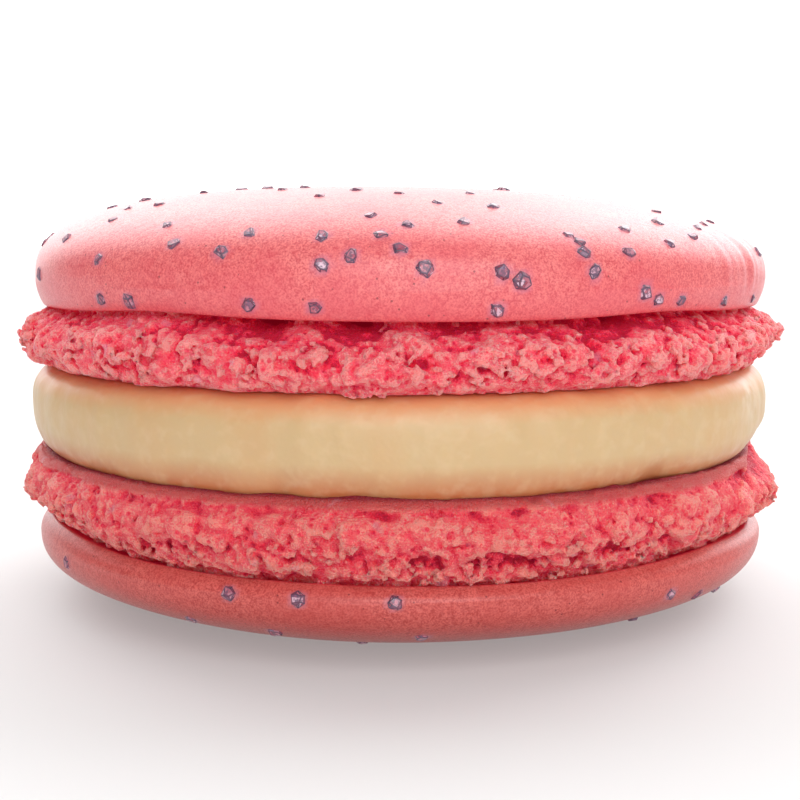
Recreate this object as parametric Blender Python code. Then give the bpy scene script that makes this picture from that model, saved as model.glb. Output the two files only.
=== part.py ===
"""A French macaron: two almond meringue shells with craggy feet round a disc of cream filling.

Units are metres and +Z is up. The origin is the centre of the flat spot that the lower shell
rests on. An azimuth is in degrees from -Y, the side that faces the viewer, towards +X.
Each shell is described by heights above its own flat baked face, which lies on the filling,
and the lower shell is the same kind of piece turned upside down.
"""

import math
import random

import bmesh
import bpy
from mathutils import Matrix, Vector, noise

MM = 0.001

# The stack, from the table up
FILLING_BOTTOM = 9.65 * MM
FILLING_TOP = 14.55 * MM
CONTACT_GAP = 0.3 * MM

# Radii of the foot, from the flat face to the hollow under the lip
FLAT_FACE_RADIUS = 21.2 * MM
FOOT_EDGE_RADIUS = 22.1 * MM
FOOT_RADIUS = 24.0 * MM
FOOT_TOP_RADIUS = 21.7 * MM
LIP_RADIUS = 22.05 * MM
LIP_TURN = -34

# Each shell: heights above its flat face, how full its dome is, how far it leans to one side,
# and the share of the foot next to the filling that is smooth. The lip waves up (+) and down,
# and hollows run in under it: azimuth, size in millimetres, half width in degrees. The foot
# swells (+) or draws in: azimuth, share of its height, size in millimetres, half width.
# Crystals at the front have places of their own: azimuth, turn up the dome, millimetres.
UPPER = {
    "name": "upper_shell",
    "face": FILLING_TOP,
    "facing": 1,
    "radius": 22.45 * MM,
    "foot": 3.45 * MM,
    "lip": 3.6 * MM,
    "widest": 5.1 * MM,
    "apex": 10.55 * MM,
    "round_power": 2.25,
    "height_power": 2.76,
    "lean": 0.07,
    "smooth_band": 0.05,
    "lip_waves": (
        (-34, 0.24, 13), (38, 0.2, 12), (8, -0.06, 20), (112, 0.22, 14), (171, -0.18, 16), (-118, 0.2, 18),
    ),
    "hollows": (
        (-55, 0.5, 6), (-18, 1.3, 5), (-7, 1.2, 4), (30, 1.3, 5), (52, 0.6, 7), (84, 0.7, 9),
        (128, 1.1, 8), (160, 1.2, 6), (-96, 0.9, 8), (-134, 1.2, 7), (-165, 0.9, 9),
    ),
    "swells": ((74, 0.7, 0.3, 8), (72, 0.2, -0.6, 12), (-77, 0.6, 0.15, 9), (-150, 0.5, 0.3, 8)),
    "crystals": 104,
    "front_crystals": (
        (-23, 11, 0.85), (-9.5, 6, 0.9), (-6, 10, 0.75), (3, 5, 0.9), (12.5, 4, 0.85),
        (15, 1, 1.05), (12, -22, 0.8), (24, 17, 0.7), (24, 12, 0.85), (25, 4, 0.8),
        (31, 12, 0.75), (33, -8, 0.95), (35.5, -18, 0.75), (40, -20, 0.7), (51, -23, 0.75),
        (63, -23, 0.65), (-19, -19, 0.8), (-10.5, -20, 0.75), (-44, -19, 0.85), (-38, -22, 0.95),
        (-66, 1, 0.85), (-84, 11, 0.85), (0, 13, 0.85), (-20, 20, 0.75), (-10, 19, 0.75),
        (-31, 15, 0.75), (-2.5, 20, 0.75), (23, 21, 0.7), (47, 21, 0.75), (86, 18, 0.75),
        (1, 26, 0.75), (-35, 25, 0.75),
    ),
    "crystal_turns": (4, 88),
    "seed": 5,
}
LOWER = {
    "name": "lower_shell",
    "face": FILLING_BOTTOM,
    "facing": -1,
    "radius": 22.6 * MM,
    "foot": 4.25 * MM,
    "lip": 4.45 * MM,
    "widest": 5.2 * MM,
    "apex": FILLING_BOTTOM,
    "round_power": 2.8,
    "height_power": 2.4,
    "lean": -0.05,
    "smooth_band": 0.18,
    "lip_waves": (
        (-64, -0.5, 20), (14, 0.1, 20), (52, -0.15, 14), (80, 0.3, 16), (140, -0.3, 18), (-140, 0.25, 20),
    ),
    "hollows": (
        (-60, 0.5, 7), (-29, 1.3, 8), (4, 0.8, 5), (17, 1.2, 9), (58, 0.8, 8), (95, 0.8, 9),
        (124, 1.2, 7), (166, 1.1, 9), (-88, 0.7, 8), (-120, 1.1, 9), (-152, 1.2, 6),
    ),
    "swells": ((76, 0.58, 0.45, 6), (74, 0.25, -0.65, 13), (-76, 0.6, -0.35, 10), (155, 0.5, 0.3, 8)),
    "crystals": 18,
    "front_crystals": (
        (-55, 3, 0.75), (-30, 22, 0.75), (-22, -6, 0.8), (-12.7, -5, 0.85), (-0.6, -5, 0.75),
        (-6, 40, 0.75), (38, 31, 0.65), (39, 8, 0.7),
    ),
    "crystal_turns": (2, 36),
    "seed": 11,
}
REST_RADIUS = 7.0 * MM

# Relief of the foot: broad lumps, crags on them, and an edge that hangs unevenly
LUMP_SIZE = 3.4 * MM
LUMP_DEPTH = 0.8 * MM
CRAG_SIZE = 1.7 * MM
CRAG_DEPTH = 0.65 * MM
SKIRT_DEPTH = 0.2 * MM
FOOT_BULGE_POWER = 2.2
HOLLOW_AT = 0.84
HOLLOW_SPREAD = 0.2
SWELL_SPREAD = 0.22

# Slow unevenness of the dome's skin
DOME_WAVE = 0.12 * MM
DOME_WAVE_SIZE = 11.0 * MM

# The filling
FILLING_RADIUS = 22.76 * MM
FILLING_EDGE_RADIUS = 20.9 * MM
FILLING_FULLNESS = 2.5
FILLING_SWELL_AT = 0.54
FILLING_WAVE = 0.16 * MM
FILLING_WAVE_SIZE = 9.0 * MM

# Sugar crystals
CRYSTAL_SIZES = (0.65, 1.0)
CRYSTAL_DEPTH = 0.36
CRYSTAL_SUNK = 0.45
CRYSTAL_SPACING = 1.75 * MM

# Facets
FOOT_COLUMNS = 144
DOME_COLUMNS = 72
FOOT_ROWS = 9
DOME_TURNS = (LIP_TURN, 0, 13, 26, 39, 52, 65)
CROWN_TURNS = (76, 83)
FILLING_COLUMNS = 90
FILLING_ROWS = 7

COLOURS = {
    "shell": (0.80, 0.19, 0.20),
    "filling": (0.84, 0.60, 0.33),
}
ROUGHNESS = 0.55


def spot(azimuth, radius, height):
    """The point at this azimuth, distance from the axis and height."""
    angle = math.radians(azimuth)
    return Vector((radius * math.sin(angle), -radius * math.cos(angle), height))


def hump(away, spread):
    """1 at no distance, falling softly to 0 past the spread."""
    return math.exp(-((away / spread) ** 2))


def turned(azimuth, centre):
    """How many degrees this azimuth is from another, the short way round."""
    return (azimuth - centre + 180) % 360 - 180


def waves(azimuth, table):
    """The sum of a table's soft waves at this azimuth, in metres."""
    return sum(size * MM * hump(turned(azimuth, centre), width) for centre, size, width in table)


def ramp(value):
    """0 below 0 and 1 above 1, with a soft rise between."""
    value = min(max(value, 0.0), 1.0)
    return value * value * (3 - 2 * value)


def relief(place, size, seed):
    """Smooth noise from about -1 to 1, whose waves are about this size."""
    return noise.noise(place / size + Vector((seed, seed * 0.37, -seed * 0.73)))


def lump(place, size, seed):
    """Rounded lumps of about this size, 1 on their tops and 0 in the clefts between them."""
    nearest = noise.voronoi(place / size + Vector((seed, -seed * 0.61, seed * 0.29)))[0][0]
    return max(1 - 1.5 * nearest * nearest, 0.0)


class Shell:
    """One shell: where its surface is, from its own sizes."""

    def __init__(self, sizes):
        self.sizes = sizes
        self.seed = sizes["seed"]

    def place(self, azimuth, radius, height):
        """The point at a height above the flat face."""
        return spot(azimuth, radius, self.sizes["face"] + self.sizes["facing"] * height)

    def lip_height(self, azimuth):
        return self.sizes["lip"] + waves(azimuth, self.sizes["lip_waves"])

    def foot(self, azimuth, share):
        """The foot's craggy side. The share runs from 0 at the flat face to 1 under the lip."""
        sizes = self.sizes
        bulge = max(1 - abs(2 * share - 0.95) ** FOOT_BULGE_POWER, 0)
        under = max(share - 0.55, 0) / 0.45
        radius = FOOT_EDGE_RADIUS + (FOOT_RADIUS - FOOT_EDGE_RADIUS) * bulge
        radius -= (FOOT_EDGE_RADIUS - FOOT_TOP_RADIUS) * under**2
        height = share * (self.lip_height(azimuth) - (sizes["lip"] - sizes["foot"]))
        at = self.place(azimuth, radius, height)
        rough = ramp(share / sizes["smooth_band"]) * ramp((1.05 - share) / 0.25)
        radius -= LUMP_DEPTH * (1 - lump(at, LUMP_SIZE, self.seed)) * rough
        radius -= CRAG_DEPTH * (1 - lump(at, CRAG_SIZE, self.seed + 7)) * rough
        radius -= waves(azimuth, sizes["hollows"]) * hump(share - HOLLOW_AT, HOLLOW_SPREAD)
        for centre, level, size, width in sizes["swells"]:
            swell = hump(turned(azimuth, centre), width) * hump(share - level, SWELL_SPREAD)
            radius += size * MM * swell
        lift = SKIRT_DEPTH * relief(at, CRAG_SIZE, self.seed + 21)
        return self.place(azimuth, radius, height + lift * ramp((1 - share) * 4))

    def dome(self, azimuth, turn):
        """The smooth skin. The turn is 0 at the widest ring, 90 at the apex, and less under it."""
        sizes = self.sizes
        widest = sizes["widest"]
        if turn < 0:
            down = math.sin(math.radians(turn)) / math.sin(math.radians(LIP_TURN))
            radius = sizes["radius"] - (sizes["radius"] - LIP_RADIUS) * down**2
            return self.place(azimuth, radius, widest + (self.lip_height(azimuth) - widest) * down)
        across = math.cos(math.radians(turn)) ** (2 / sizes["round_power"])
        rise = math.sin(math.radians(turn)) ** (2 / sizes["height_power"])
        rise *= 1 - sizes["lean"] * math.sin(math.radians(azimuth)) * across
        radius = sizes["radius"] * across
        height = widest + (sizes["apex"] - widest) * rise
        uneven = relief(spot(azimuth, radius, height), DOME_WAVE_SIZE, self.seed + 3)
        uneven *= DOME_WAVE * across
        return self.place(azimuth, radius + uneven, height + uneven * rise)

    def normal(self, azimuth, turn):
        """The dome's outward direction."""
        along = self.dome(azimuth, turn + 0.5) - self.dome(azimuth, turn - 0.5)
        sideways = self.dome(azimuth + 0.5, turn) - self.dome(azimuth - 0.5, turn)
        return (along.cross(sideways) * -self.sizes["facing"]).normalized()


def azimuths(count):
    return [360 * i / count for i in range(count)]


def add_ring(bm, points):
    return [bm.verts.new(point) for point in points]


def join_rings(bm, low, high):
    """Faces between two rings, the second with as many points as the first, or half as many."""
    count = len(high)
    for i in range(count):
        j = (i + 1) % count
        if len(low) == count:
            bm.faces.new((low[i], low[j], high[j], high[i]))
            continue
        first, middle, last = low[2 * i], low[2 * i + 1], low[(2 * i + 2) % len(low)]
        bm.faces.new((first, middle, high[i]))
        bm.faces.new((middle, high[j], high[i]))
        bm.faces.new((middle, last, high[j]))


def material_named(name):
    material = bpy.data.materials.get(name)
    if material:
        return material
    material = bpy.data.materials.new(name)
    material.use_nodes = True
    shader = material.node_tree.nodes["Principled BSDF"]
    shader.inputs["Base Color"].default_value = (*COLOURS[name], 1)
    shader.inputs["Roughness"].default_value = ROUGHNESS
    return material


def object_from(bm, name, material_name, flip=False):
    """The finished object of this name, its faces pointing out."""
    if flip:
        bmesh.ops.reverse_faces(bm, faces=bm.faces)
    mesh = bpy.data.meshes.new(name)
    bm.to_mesh(mesh)
    bm.free()
    mesh.materials.append(material_named(material_name))
    mesh.shade_smooth()
    mesh.set_sharp_from_angle(angle=math.radians(50))
    obj = bpy.data.objects.new(name, mesh)
    bpy.context.scene.collection.objects.link(obj)
    return obj


def build_shell(shell, rest_radius=None):
    """One shell as a closed solid: flat face, foot, lip, dome, and a flat spot if it has one."""
    bm = bmesh.new()
    below = add_ring(bm, [shell.place(a, FLAT_FACE_RADIUS, 0) for a in azimuths(FOOT_COLUMNS)])
    bm.faces.new(list(reversed(below)))
    shares = [row / FOOT_ROWS for row in range(FOOT_ROWS + 1)]
    rows = [[shell.foot(a, share) for a in azimuths(FOOT_COLUMNS)] for share in shares]
    rows += [[shell.dome(a, turn) for a in azimuths(DOME_COLUMNS)] for turn in DOME_TURNS]
    half = DOME_COLUMNS // 2
    if rest_radius:
        rows.append([shell.place(a, rest_radius, shell.sizes["apex"]) for a in azimuths(half)])
    else:
        rows += [[shell.dome(a, turn) for a in azimuths(half // 2**i)] for i, turn in enumerate(CROWN_TURNS)]
    for row in rows:
        above = add_ring(bm, row)
        join_rings(bm, below, above)
        below = above
    if rest_radius:
        bm.faces.new(below)
    else:
        apex = bm.verts.new(shell.dome(0, 90))
        for i, vert in enumerate(below):
            bm.faces.new((vert, below[(i + 1) % len(below)], apex))
    return object_from(bm, shell.sizes["name"], "shell", flip=shell.sizes["facing"] < 0)


def filling_radius(share):
    """How far the filling reaches, where the share is 0 at its lower face and 1 at its upper one."""
    if share < FILLING_SWELL_AT:
        away = 1 - share / FILLING_SWELL_AT
    else:
        away = (share - FILLING_SWELL_AT) / (1 - FILLING_SWELL_AT)
    swell = (1 - min(away, 1) ** FILLING_FULLNESS) ** (1 / FILLING_FULLNESS)
    return FILLING_EDGE_RADIUS + (FILLING_RADIUS - FILLING_EDGE_RADIUS) * swell


def build_filling():
    """The disc of cream, whose side swells between the two flat faces."""
    bottom, top = FILLING_BOTTOM + CONTACT_GAP, FILLING_TOP - CONTACT_GAP
    bm = bmesh.new()
    below = None
    for row in range(FILLING_ROWS + 1):
        share = (1 - math.cos(math.pi * row / FILLING_ROWS)) / 2
        height = bottom + (top - bottom) * share
        points = []
        for a in azimuths(FILLING_COLUMNS):
            wave = FILLING_WAVE * relief(spot(a, FILLING_RADIUS, height), FILLING_WAVE_SIZE, 3)
            points.append(spot(a, filling_radius(share) + wave, height))
        above = add_ring(bm, points)
        if below:
            join_rings(bm, below, above)
        else:
            bm.faces.new(list(reversed(above)))
        below = above
    bm.faces.new(below)
    return object_from(bm, "filling", "filling")


def crystal_places(shell):
    """Azimuth, turn and millimetres of each crystal: those at the front, then a seeded scatter.

    The scatter is even over the dome as seen from above, as sugar falls on it, the largest
    first, and no two are close together.
    """
    draw = random.Random(shell.seed)
    smallest, largest = CRYSTAL_SIZES
    count = shell.sizes["crystals"]
    lowest, highest = (math.sin(math.radians(turn)) for turn in shell.sizes["crystal_turns"])
    placed = [(shell.dome(azimuth, turn), azimuth, turn, size)
              for azimuth, turn, size in shell.sizes["front_crystals"]]
    while len(placed) < count:
        azimuth = draw.uniform(-180, 180)
        across = math.sqrt(draw.uniform(1 - highest**2, 1 - lowest**2))
        turn = math.degrees(math.acos(across))
        size = largest - (largest - smallest) * len(placed) / count
        here = shell.dome(azimuth, turn)
        if all((here - other).length > CRYSTAL_SPACING for other, *_ in placed):
            placed.append((here, azimuth, turn, size))
    return [entry[1:] for entry in placed]


def crystal_mesh(size, draw):
    """An uneven block of sugar with its corners cut, as the hull of a few points."""
    bm = bmesh.new()
    length, width = size * draw.uniform(0.42, 0.55), size * draw.uniform(0.34, 0.48)
    depth = size * CRYSTAL_DEPTH
    for x in (-1, 1):
        for y in (-1, 1):
            top = (x * length * draw.uniform(0.8, 1), y * width * draw.uniform(0.5, 0.8))
            foot = (x * length * draw.uniform(0.5, 0.8), y * width * draw.uniform(0.85, 1))
            bm.verts.new((*top, depth * draw.uniform(0.7, 1)))
            bm.verts.new((*foot, -depth))
        bm.verts.new((x * length * 1.12, 0, draw.uniform(-0.2, 0.2) * depth))
    bmesh.ops.convex_hull(bm, input=bm.verts)
    bmesh.ops.recalc_face_normals(bm, faces=bm.faces)
    mesh = bpy.data.meshes.new("crystal")
    bm.to_mesh(mesh)
    bm.free()
    return mesh


def fuse_crystals(obj, shell):
    """Joins the crystals to the shell that they are baked into, as one closed body."""
    draw = random.Random(shell.seed + 1)
    helpers = bpy.data.collections.new("crystals")
    bpy.context.scene.collection.children.link(helpers)
    for azimuth, turn, size in crystal_places(shell):
        out = shell.normal(azimuth, turn)
        centre = shell.dome(azimuth, turn) - out * size * MM * CRYSTAL_DEPTH * CRYSTAL_SUNK
        upright = out.to_track_quat("Z", "Y").to_matrix().to_4x4()
        spin = Matrix.Rotation(draw.uniform(0, math.pi), 4, "Z")
        tilt = Matrix.Rotation(draw.uniform(-0.3, 0.3), 4, "X")
        crystal = bpy.data.objects.new("crystal", crystal_mesh(size * MM, draw))
        crystal.matrix_world = Matrix.Translation(centre) @ upright @ spin @ tilt
        helpers.objects.link(crystal)
    union = obj.modifiers.new("crystals", "BOOLEAN")
    union.operation = "UNION"
    union.operand_type = "COLLECTION"
    union.collection = helpers
    union.solver = "EXACT"
    bpy.context.view_layer.update()
    graph = bpy.context.evaluated_depsgraph_get()
    fused = bpy.data.meshes.new_from_object(obj.evaluated_get(graph))
    obj.modifiers.remove(union)
    obj.data = fused
    for crystal in list(helpers.objects):
        bpy.data.objects.remove(crystal)
    bpy.data.collections.remove(helpers)


def main():
    for old in list(bpy.data.objects):
        bpy.data.objects.remove(old)
    upper, lower = Shell(UPPER), Shell(LOWER)
    build_filling()
    fuse_crystals(build_shell(upper), upper)
    fuse_crystals(build_shell(lower, REST_RADIUS), lower)


main()
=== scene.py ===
"""The looks of a French macaron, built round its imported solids.

Units are metres and +Z is up. An azimuth is in degrees from -Y, the side that faces the viewer,
towards +X. Each shell is described by heights above its own flat baked face, which lies on the
filling, and the lower shell is the same kind of piece turned upside down. The foot of each shell
is a real foam: crumbs added to and pores cut from a field on a cylindrical grid, whose zero
surface becomes the mesh.
"""

import math
import random

import bmesh
import bpy
import numpy as np
from mathutils import Matrix, Vector, kdtree, noise


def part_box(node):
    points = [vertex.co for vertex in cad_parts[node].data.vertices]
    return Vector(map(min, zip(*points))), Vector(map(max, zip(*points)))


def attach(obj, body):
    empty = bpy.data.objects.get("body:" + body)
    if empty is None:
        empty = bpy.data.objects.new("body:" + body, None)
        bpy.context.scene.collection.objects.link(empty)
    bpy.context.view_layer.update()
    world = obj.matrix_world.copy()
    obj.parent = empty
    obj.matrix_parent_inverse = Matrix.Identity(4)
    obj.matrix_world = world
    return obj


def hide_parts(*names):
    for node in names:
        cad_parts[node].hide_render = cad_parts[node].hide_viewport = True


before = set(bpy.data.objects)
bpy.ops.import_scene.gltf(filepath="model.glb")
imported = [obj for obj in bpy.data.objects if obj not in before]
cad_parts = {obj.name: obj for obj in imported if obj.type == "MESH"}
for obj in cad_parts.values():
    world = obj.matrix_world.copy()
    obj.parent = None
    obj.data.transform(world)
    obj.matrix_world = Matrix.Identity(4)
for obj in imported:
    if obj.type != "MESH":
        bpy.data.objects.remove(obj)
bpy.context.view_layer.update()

MM = 0.001

# The stack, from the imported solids. Each keeps this gap to the next, which the looks close.
CONTACT_GAP = 0.3 * MM
FILLING_LOW, FILLING_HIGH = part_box("filling")
FILLING_BOTTOM = FILLING_LOW.z - CONTACT_GAP
FILLING_TOP = FILLING_HIGH.z + CONTACT_GAP

# Radii of the foot, from the flat face to the hollow under the lip
FOOT_EDGE_RADIUS = 22.1 * MM
FOOT_RADIUS = 24.0 * MM
FOOT_TOP_RADIUS = 21.7 * MM
LIP_RADIUS = 22.05 * MM
LIP_TURN = -34

# Each shell: heights above its flat face, how full its dome is, how far it leans to one side,
# the share of the foot next to the filling that is smooth, and how much calmer the crumb is beyond
# it. The lip waves up (+) and down, and hollows run in under it: azimuth, size in millimetres, half
# width in degrees. The foot swells (+) or draws in: azimuth, share of its height, size in
# millimetres, half width.
# Crystals at the front have places of their own: azimuth, turn up the dome, millimetres
UPPER = {
    "name": "upper",
    "node": "upper_shell",
    "face": FILLING_TOP,
    "facing": 1,
    "radius": 22.45 * MM,
    "foot": 3.45 * MM,
    "lip": 3.6 * MM,
    "widest": 5.1 * MM,
    "apex": 10.55 * MM,
    "round_power": 2.25,
    "height_power": 2.76,
    "lean": 0.07,
    "smooth_band": 0.0,
    "calm": 0.0,
    "hollow_at": (0.92, 0.2),
    "lip_fill": 0.0,
    "edge_fill": 0.3,
    "lip_waves": (
        (-34, 0.24, 13), (38, 0.2, 12), (8, -0.06, 20), (112, 0.22, 14), (171, -0.18, 16), (-118, 0.2, 18),
    ),
    "hollows": (
        (-55, 0.5, 6), (-28, 0.6, 4), (-18, 1.7, 5), (-5.5, 1.6, 3.5), (7, 0.9, 4), (21, 0.8, 5),
        (31, 1.4, 5), (41, 0.9, 5), (52, 0.8, 6), (84, 0.2, 9),
        (128, 1.1, 8), (160, 1.2, 6), (-96, 0.9, 8), (-134, 1.2, 7), (-165, 0.9, 9),
    ),
    "swells": ((74, 0.7, 0.1, 8), (72, 0.2, -0.9, 12), (-77, 0.6, -0.1, 9), (-150, 0.5, 0.3, 8)),
    "crystals": 104,
    "front_crystals": (
        (-23, 11, 0.85), (-9.5, 6, 0.9), (-6, 10, 0.75), (3, 5, 0.9), (12.5, 4, 0.85),
        (15, 1, 1.05), (12, -22, 0.8), (24, 17, 0.7), (24, 12, 0.85), (25, 4, 0.8),
        (31, 12, 0.75), (33, -8, 0.95), (35.5, -18, 0.75), (40, -20, 0.7), (51, -23, 0.75),
        (63, -23, 0.65), (-19, -19, 0.8), (-10.5, -20, 0.75), (-44, -19, 0.85), (-38, -22, 0.95),
        (-66, 1, 0.85), (-84, 11, 0.85), (0, 13, 0.85), (-20, 20, 0.75), (-10, 19, 0.75),
        (-31, 15, 0.75), (-2.5, 20, 0.75), (23, 21, 0.7), (47, 21, 0.75), (86, 18, 0.75),
        (1, 26, 0.75), (-35, 25, 0.75),
    ),
    "crystal_turns": (4, 88),
    "seed": 5,
}
LOWER = {
    "name": "lower",
    "node": "lower_shell",
    "face": FILLING_BOTTOM,
    "facing": -1,
    "radius": 22.6 * MM,
    "foot": 4.25 * MM,
    "lip": 4.45 * MM,
    "widest": 5.2 * MM,
    "apex": FILLING_BOTTOM,
    "round_power": 2.8,
    "height_power": 2.4,
    "lean": -0.05,
    "smooth_band": 0.18,
    "calm": 0.55,
    "hollow_at": (0.75, 0.12),
    "lip_fill": 0.65,
    "edge_fill": 0.0,
    "lip_waves": (
        (-64, -0.5, 20), (14, 0.1, 20), (52, -0.15, 14), (80, 0.3, 16), (140, -0.3, 18), (-140, 0.25, 20),
    ),
    "hollows": (
        (-60, 0.4, 7), (-29, 0.7, 6), (3, 0.8, 4), (15, 1.2, 7), (29, 0.9, 5), (58, 0.5, 6), (95, 0.2, 9),
        (124, 0.8, 7), (166, 0.7, 9), (-88, 0.2, 8), (-120, 0.7, 9), (-152, 0.8, 6),
    ),
    "swells": ((76, 0.58, 0.1, 6), (74, 0.22, -1.3, 13), (-76, 0.4, -0.45, 12), (155, 0.5, 0.3, 8)),
    "crystals": 18,
    "front_crystals": (
        (-55, 3, 0.75), (-30, 22, 0.75), (-22, -6, 0.8), (-12.7, -5, 0.85), (-0.6, -5, 0.75),
        (-6, 40, 0.75), (38, 31, 0.65), (39, 8, 0.7),
    ),
    "crystal_turns": (2, 36),
    "seed": 11,
}
REST_RADIUS = 7.0 * MM

# Relief of the foot: broad lumps and the crags on them
LUMP_SIZE = 3.4 * MM
LUMP_DEPTH = 0.5 * MM
CRAG_SIZE = 1.7 * MM
CRAG_DEPTH = 0.35 * MM
FOOT_BULGE_POWER = 2.2
SWELL_SPREAD = 0.22

# Where the foot is filled out towards the front, and over how much of its height
LIP_FILL = (0.88, 0.2)
EDGE_FILL = (0.0, 0.3)

# Foam of the foot: sizes and depths in millimetres, and crumbs and pores by the square millimetre
FOAM_STEP = 0.106 * MM
FOAM_COLUMNS = 1380
FOAM_INNER_RADIUS = 19.6 * MM
FOAM_FINE_RADIUS = 22.0 * MM
FOAM_OUTER_RADIUS = 24.2 * MM
FOAM_UNDER = 0.5 * MM
FOAM_INTO_DOME = 0.5 * MM
FOAM_SUNK = 0.48
FOAM_CORE = 0.9
FOAM_PUFFS = ((1.4, 0.3), (0.7, 0.24), (0.34, 0.2))
FOAM_FINEST = 0.12
FOAM_FINEST_SIZE = 0.2
FOAM_PROUD = 0.1
FOAM_PROUD_BLEND = 0.25
CRUMBS = {"per_area": 1.1, "radii": (0.16, 0.36), "depths": (0.05, 0.4)}
PORES = {"per_area": 3.2, "radii": (0.08, 0.24), "depths": (-0.04, 0.2)}
GRAINS = {"per_area": 12.0, "radii": (0.07, 0.15), "depths": (-0.03, 0.06)}
# The noise lattice is turned so that none of its planes faces the viewer
LATTICE_AXES = ((0.36, 0.48, -0.8), (-0.8, 0.6, 0.0), (0.48, 0.64, 0.6))
STAMP_RAGGED = 0.6
RAGGED = ((0.45, 1.0), (0.2, 0.6))
STAMP_BLEND = 0.07
# Where the crumb is calmest, as a share of the foot's height
CALM_AT = 0.32
CALM_REACH = 0.28
# Width of the painted shadow along the lower foot where the cream meets it
CONTACT_SHADOW_WIDTH = 0.3 * MM
# Ragged hem of the foot beside the cream: sizes and depths of its waves, and where it begins
SKIRT = ((1.4, 0.28), (0.4, 0.16))
SKIRT_FROM = 21.9
SKIRT_FADE = 0.5
CAVITY_REACH = (3, 8)

# Points of the foam inside the biscuit are merged in blocks of this many cells
HIDDEN_BLOCK = (5, 4, 6)
HIDDEN_RADIUS = 20.4 * MM
HIDDEN_EDGE = 0.06 * MM

# Slow unevenness of the dome's skin, and ripples at one side of it
DOME_WAVE = 0.12 * MM
DOME_WAVE_SIZE = 11.0 * MM
WRINKLE = 0.2 * MM
WRINKLE_AT = (68, 6)
WRINKLE_REACH = 16
DOME_COLUMNS = 480
DOME_ROWS = 48
LIP_ROWS = 14
LIP_UNDERSIDE = ((0.06, -0.05), (0.15, -0.06), (0.26, -0.02), (0.42, 0.06), (0.9, 0.22), (2.2, 0.35))

# Filling: its swell between the shells, and the dents along its lower edge
FILLING_RADIUS = 22.76 * MM
FILLING_EDGE_RADIUS = 20.9 * MM
FILLING_FULLNESS = 2.5
FILLING_SWELL_AT = 0.54
FILLING_WAVE = 0.16 * MM
FILLING_WAVE_SIZE = 9.0 * MM
FILLING_SMEAR = 0.1 * MM
FILLING_SPREAD = (
    (-24, 1.1, 30), (14, 0.9, 20), (40, 0.4, 13), (86, -1.0, 18), (145, 0.7, 26), (-140, 0.8, 30),
)
FILLING_DROOP = 0.15 * MM
FILLING_DENTS = (
    (-15, -0.25, 2.5), (-4, -0.25, 4), (36, -0.3, 3), (76, -0.7, 11), (110, -0.3, 4), (190, -0.3, 3),
)
# A whitish smear on the cream, a painted highlight: azimuth and share of its height
SMEAR_HIGHLIGHT_AT = (59, 0.78)
FILLING_COLUMNS = 480
FILLING_ROWS = 32

# Sugar crystals baked into the skin
CRYSTAL_SIZES = (0.65, 1.0)
CRYSTAL_DEPTH = 0.36
CRYSTAL_SUNK = 0.5
CRYSTAL_SPACING = 1.75 * MM
PANE_RIM = 0.045
HALO = 0.2

# Camera: where the photograph was taken from, with its focal length in pixels of 800
CAMERA_PLACE = (0, -0.084, 0.022)
CAMERA_FOCUS = 1310
CAMERA_DOWN = math.atan(162 / CAMERA_FOCUS)
SENSOR = 36

# The underside is painted darker and browner, as painted shade, up to this height
SHADE_HEIGHT = 5.4 * MM

# The upper dome is pinker near its lip, from this height down
PINK_LOW = FILLING_TOP + 3.4 * MM
PINK_HIGH = FILLING_TOP + 6.4 * MM

# Sizes in millimetres of the specks in the skin and of the finest bubbles and granules of the crumb; the
# bubbles carry painted shade and the granules painted glints
SPECK_SIZE = 0.35
BUBBLE_SIZE = 0.32
GRANULE_SIZE = 0.15

# A painted red glow in the hollows of the foam, for the light that comes through its thin walls
HOLLOW_GLOW = 0.05

# Studio
FLOOR_RADIUS = 3.0
FLOOR_COLOUR = (0.52, 0.52, 0.52)
FLOOR_GLOW = 0.27
WORLD_LEFT = 0.24
WORLD_RIGHT = 0.65
WORLD_FRONT = 0.6
WORLD_BACK = 2.2
BACK_BOXES = 1.9
BACK_BOX_LEFT = 0.6
BACK_BOX_AT = (0.52, 0.6, 0.6)
KEY_POWER = 2.15
KEY_PLACE = (0.06, -0.5, 0.27)
KEY_TARGET = (0, 0, 0.012)
KEY_SIZE = (0.5, 0.4)


def spot(azimuth, radius, height):
    """The point at this azimuth, distance from the axis and height."""
    angle = math.radians(azimuth)
    return Vector((radius * math.sin(angle), -radius * math.cos(angle), height))


def hump(away, spread):
    """1 at no distance, falling softly to 0 past the spread."""
    return math.exp(-((away / spread) ** 2))


def turned(azimuth, centre):
    """How many degrees this azimuth is from another, the short way round."""
    return (azimuth - centre + 180) % 360 - 180


def waves(azimuth, table):
    """The sum of a table's soft waves at this azimuth, in metres."""
    return sum(size * MM * hump(turned(azimuth, centre), width) for centre, size, width in table)


def ramp(value):
    """0 below 0 and 1 above 1, with a soft rise between."""
    value = np.clip(value, 0.0, 1.0)
    return value * value * (3 - 2 * value)


def relief(place, size, seed):
    """Smooth noise from about -1 to 1, whose waves are about this size."""
    return noise.noise(place / size + Vector((seed, seed * 0.37, -seed * 0.73)))


def lump(place, size, seed):
    """Rounded lumps of about this size, 1 on their tops and 0 in the clefts between them."""
    nearest = noise.voronoi(place / size + Vector((seed, -seed * 0.61, seed * 0.29)))[0][0]
    return max(1 - 1.5 * nearest * nearest, 0.0)


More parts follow.
